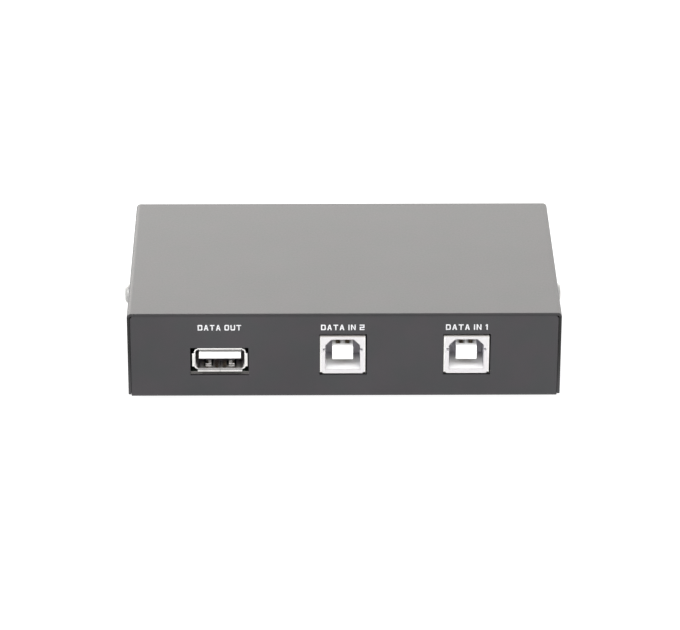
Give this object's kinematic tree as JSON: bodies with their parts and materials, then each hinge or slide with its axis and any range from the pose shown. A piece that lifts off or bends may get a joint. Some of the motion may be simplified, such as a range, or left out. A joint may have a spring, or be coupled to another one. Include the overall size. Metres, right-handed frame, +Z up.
{
  "type": "peripheral sharing switch",
  "caption": "Flat painted steel switch box that shares a device socket between host sockets, with a latching push button and indicator lamps.",
  "frame": {"origin": "under the middle of the whole switch, in the plane of its rubber feet", "axes": "+X across the case, +Y out of the selector side with the button, -Y out of the port side, +Z up"},
  "size_m": [0.1138, 0.0716, 0.0252],
  "materials": {
    "case_enamel": "satin powder coat with a fine even grain",
    "screw_steel": "dull zinc plate",
    "foot_rubber": "matt moulded rubber",
    "standoff_steel": "zinc plate, turned",
    "board_laminate": "black-green solder mask over glass laminate",
    "socket_shell": "tinned sheet, drawn and folded",
    "socket_body": "white moulded polyester",
    "contact_gilt": "thin dull gilt plate on the contact faces",
    "switch_body": "moulded, slightly grained",
    "plunger_nylon": "natural nylon",
    "spring_steel": "bright wire and strip",
    "lead_tin": "tinned",
    "button_plastic": "satin moulded, face lightly dished by wear",
    "lamp_lens": "tinted diffused resin",
    "resistor_body": "black glaze with tinned ends",
    "capacitor_sleeve": "shrunk sleeve"
  },
  "bodies": {
    "case": {"board_screw_1": "screw_steel", "board_screw_2": "screw_steel", "board_screw_3": "screw_steel", "board_screw_4": "screw_steel", "board_standoff_1": "standoff_steel", "board_standoff_2": "standoff_steel", "board_standoff_3": "standoff_steel", "board_standoff_4": "standoff_steel", "chassis": "case_enamel", "circuit_board": "board_laminate", "cover_screw_left": "screw_steel", "cover_screw_right": "screw_steel", "device_port_contact_1": "contact_gilt", "device_port_contact_2": "contact_gilt", "device_port_contact_3": "contact_gilt", "device_port_contact_4": "contact_gilt", "device_port_insulator": "socket_body", "device_port_shell": "socket_shell", "host_port_1_contact_1": "contact_gilt", "host_port_1_contact_2": "contact_gilt", "host_port_1_contact_3": "contact_gilt", "host_port_1_contact_4": "contact_gilt", "host_port_1_insulator": "socket_body", "host_port_1_shell": "socket_shell", "host_port_2_contact_1": "contact_gilt", "host_port_2_contact_2": "contact_gilt", "host_port_2_contact_3": "contact_gilt", "host_port_2_contact_4": "contact_gilt", "host_port_2_insulator": "socket_body", "host_port_2_shell": "socket_shell", "lamp_1_leads": "lead_tin", "lamp_1_lens": "lamp_lens", "lamp_2_leads": "lead_tin", "lamp_2_lens": "lamp_lens", "lamp_resistor_1": "resistor_body", "lamp_resistor_2": "resistor_body", "return_spring": "spring_steel", "rubber_foot_1": "foot_rubber", "rubber_foot_2": "foot_rubber", "rubber_foot_3": "foot_rubber", "rubber_foot_4": "foot_rubber", "supply_capacitor": "capacitor_sleeve", "switch_frame": "spring_steel", "switch_housing": "switch_body", "switch_terminals_left": "lead_tin", "switch_terminals_right": "lead_tin", "top_cover": "case_enamel"},
    "button": {"button_cap": "button_plastic", "switch_plunger": "plunger_nylon", "sliding_contact_1": "contact_gilt", "sliding_contact_2": "contact_gilt", "sliding_contact_3": "contact_gilt", "sliding_contact_4": "contact_gilt"},
    "latch": {"latch_pin": "spring_steel"}
  },
  "joints": [
    {"name": "button_press", "type": "slide", "parent": "case", "child": "button", "axis": [0, -1, 0], "range_m": [0, 0.0036], "stiffness_N_per_m": 350, "springref_m": -0.002, "deforming": ["return_spring"]},
    {"name": "latch_swing", "type": "hinge", "parent": "case", "child": "latch", "pos_m": [0, 0.00495, 0.01725], "axis": [0, 0, 1], "range_deg": [0, 6.6]}
  ],
  "couplings": [
    {"joint": "latch_swing", "follows": "button_press", "rad_per_m": 31.6}
  ]
}
